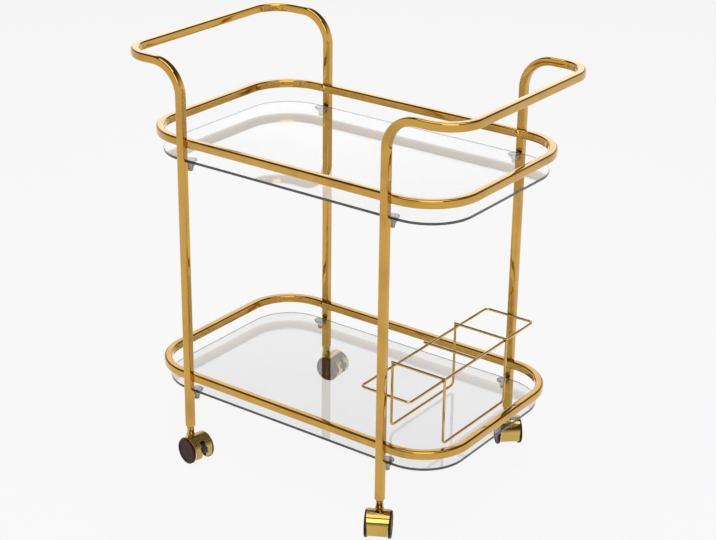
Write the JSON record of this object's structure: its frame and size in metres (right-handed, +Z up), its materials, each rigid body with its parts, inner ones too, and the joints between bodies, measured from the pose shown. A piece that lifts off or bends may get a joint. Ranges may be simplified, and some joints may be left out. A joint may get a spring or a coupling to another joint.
{
  "type": "service cart",
  "caption": "Tall brass-plated serving trolley with bent-tube handles, railed glass shelves, a wire bottle rack and hooded twin-wheel swivel casters.",
  "frame": {"origin": "on the floor, midway between the four legs", "axes": "+X along the cart towards the end with the bottle rack, -Y to the front, +Z up"},
  "size_m": [0.758, 0.519, 0.81],
  "materials": {
    "plated_frame": "polished plating on steel tube and wire",
    "plated_hood": "polished plating on die-cast metal",
    "shelf_glass": "clear float glass, polished edge",
    "soft_cup": "soft grey plastic",
    "leg_plug": "moulded",
    "bright_steel": "turned, zinc-plated",
    "wheel": "moulded, slight sheen",
    "brake_lever": "moulded"
  },
  "bodies": {
    "frame": {"left_end_frame": "plated_frame", "right_end_frame": "plated_frame", "upper_rail": "plated_frame", "lower_rail": "plated_frame", "upper_rail_screws": "plated_frame", "lower_rail_screws": "plated_frame", "upper_glass": "shelf_glass", "lower_glass": "shelf_glass", "upper_shelf_pegs": "plated_frame", "lower_shelf_pegs": "plated_frame", "upper_shelf_cups": "soft_cup", "lower_shelf_cups": "soft_cup", "rack_frame": "plated_frame", "rack_cross_wires": "plated_frame", "rack_cradles": "plated_frame", "front_left_plug": "leg_plug", "front_right_plug": "leg_plug", "rear_left_plug": "leg_plug", "rear_right_plug": "leg_plug"},
    "front_left_caster": {"front_left_stem": "bright_steel", "front_left_hood": "plated_hood", "front_left_axle": "bright_steel", "front_left_brake_pin": "bright_steel"},
    "front_left_right_wheel": {"front_left_wheel_right": "wheel"},
    "front_left_left_wheel": {"front_left_wheel_left": "wheel"},
    "front_left_brake": {"front_left_brake_lever": "brake_lever"},
    "front_right_caster": {"front_right_stem": "bright_steel", "front_right_hood": "plated_hood", "front_right_axle": "bright_steel"},
    "front_right_right_wheel": {"front_right_wheel_right": "wheel"},
    "front_right_left_wheel": {"front_right_wheel_left": "wheel"},
    "rear_left_caster": {"rear_left_stem": "bright_steel", "rear_left_hood": "plated_hood", "rear_left_axle": "bright_steel", "rear_left_brake_pin": "bright_steel"},
    "rear_left_right_wheel": {"rear_left_wheel_right": "wheel"},
    "rear_left_left_wheel": {"rear_left_wheel_left": "wheel"},
    "rear_left_brake": {"rear_left_brake_lever": "brake_lever"},
    "rear_right_caster": {"rear_right_stem": "bright_steel", "rear_right_hood": "plated_hood", "rear_right_axle": "bright_steel"},
    "rear_right_right_wheel": {"rear_right_wheel_right": "wheel"},
    "rear_right_left_wheel": {"rear_right_wheel_left": "wheel"}
  },
  "joints": [
    {"name": "front_left_swivel", "type": "hinge", "parent": "frame", "child": "front_left_caster", "pos_m": [-0.2285, -0.221, 0.068], "axis": [0, 0, 1], "continuous": true},
    {"name": "front_left_right_spin", "type": "hinge", "parent": "front_left_caster", "child": "front_left_right_wheel", "pos_m": [-0.21236, -0.22443, 0.026], "axis": [0.2079, 0.9781, 0], "continuous": true},
    {"name": "front_left_left_spin", "type": "hinge", "parent": "front_left_caster", "child": "front_left_left_wheel", "pos_m": [-0.21236, -0.22443, 0.026], "axis": [0.2079, 0.9781, 0], "continuous": true},
    {"name": "front_left_brake_tip", "type": "hinge", "parent": "front_left_caster", "child": "front_left_brake", "pos_m": [-0.19573, -0.22797, 0.039], "axis": [0.2079, 0.9781, 0], "range_deg": [0, 14]},
    {"name": "front_right_swivel", "type": "hinge", "parent": "frame", "child": "front_right_caster", "pos_m": [0.2285, -0.221, 0.068], "axis": [0, 0, 1], "continuous": true},
    {"name": "front_right_right_spin", "type": "hinge", "parent": "front_right_caster", "child": "front_right_right_wheel", "pos_m": [0.23675, -0.23529, 0.026], "axis": [0.866, 0.5, 0], "continuous": true},
    {"name": "front_right_left_spin", "type": "hinge", "parent": "front_right_caster", "child": "front_right_left_wheel", "pos_m": [0.23675, -0.23529, 0.026], "axis": [0.866, 0.5, 0], "continuous": true},
    {"name": "rear_left_swivel", "type": "hinge", "parent": "frame", "child": "rear_left_caster", "pos_m": [-0.2285, 0.221, 0.068], "axis": [0, 0, 1], "continuous": true},
    {"name": "rear_left_right_spin", "type": "hinge", "parent": "rear_left_caster", "child": "rear_left_right_wheel", "pos_m": [-0.21206, 0.22244, 0.026], "axis": [-0.0872, 0.9962, 0], "continuous": true},
    {"name": "rear_left_left_spin", "type": "hinge", "parent": "rear_left_caster", "child": "rear_left_left_wheel", "pos_m": [-0.21206, 0.22244, 0.026], "axis": [-0.0872, 0.9962, 0], "continuous": true},
    {"name": "rear_left_brake_tip", "type": "hinge", "parent": "rear_left_caster", "child": "rear_left_brake", "pos_m": [-0.19513, 0.22392, 0.039], "axis": [-0.0872, 0.9962, 0], "range_deg": [0, 14]},
    {"name": "rear_right_swivel", "type": "hinge", "parent": "frame", "child": "rear_right_caster", "pos_m": [0.2285, 0.221, 0.068], "axis": [0, 0, 1], "continuous": true},
    {"name": "rear_right_right_spin", "type": "hinge", "parent": "rear_right_caster", "child": "rear_right_right_wheel", "pos_m": [0.23975, 0.20893, 0.026], "axis": [0.7314, 0.682, 0], "continuous": true},
    {"name": "rear_right_left_spin", "type": "hinge", "parent": "rear_right_caster", "child": "rear_right_left_wheel", "pos_m": [0.23975, 0.20893, 0.026], "axis": [0.7314, 0.682, 0], "continuous": true}
  ]
}
